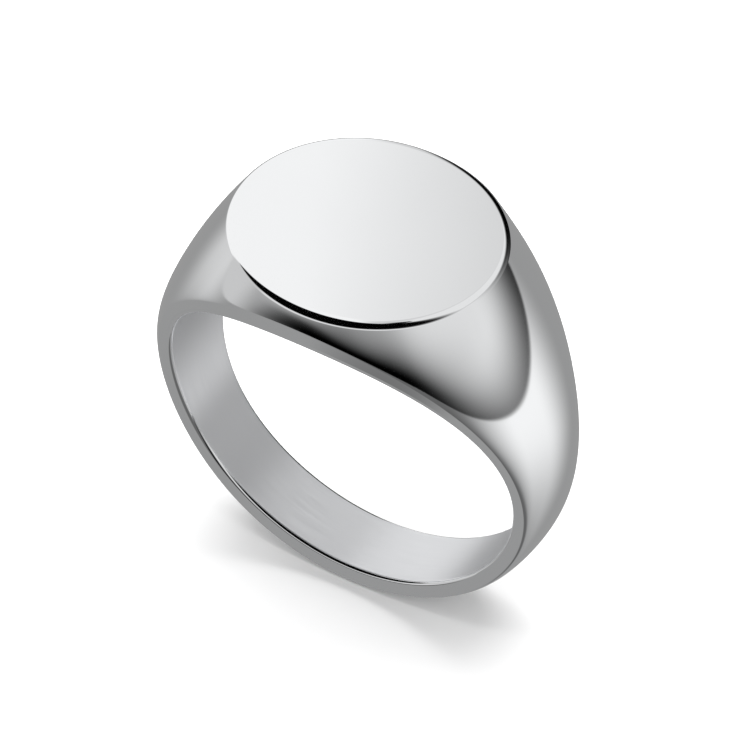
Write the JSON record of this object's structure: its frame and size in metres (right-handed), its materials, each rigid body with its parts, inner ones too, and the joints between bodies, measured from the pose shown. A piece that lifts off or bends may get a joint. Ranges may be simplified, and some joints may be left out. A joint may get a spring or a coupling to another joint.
{
  "type": "signet ring",
  "caption": "Plain polished signet ring with a flat, nearly round table, tapering shoulders, a narrow base and a satin inner sleeve.",
  "frame": {"origin": "centre of the finger bore, midway between its two mouths", "axes": "+Y along the finger bore, +Z from the bore's centre up through the middle of the table, +X across the ring from shoulder to shoulder"},
  "size_m": [0.0208, 0.0124, 0.0211],
  "materials": {
    "polished": "mirror polished silver-coloured steel",
    "satin": "fine satin, brushed round the bore"
  },
  "bodies": {
    "root": {"face_plate": "polished", "head_body": "polished", "left_shoulder": "polished", "right_shoulder": "polished", "shank": "polished", "inner_sleeve": "satin"}
  },
  "joints": []
}
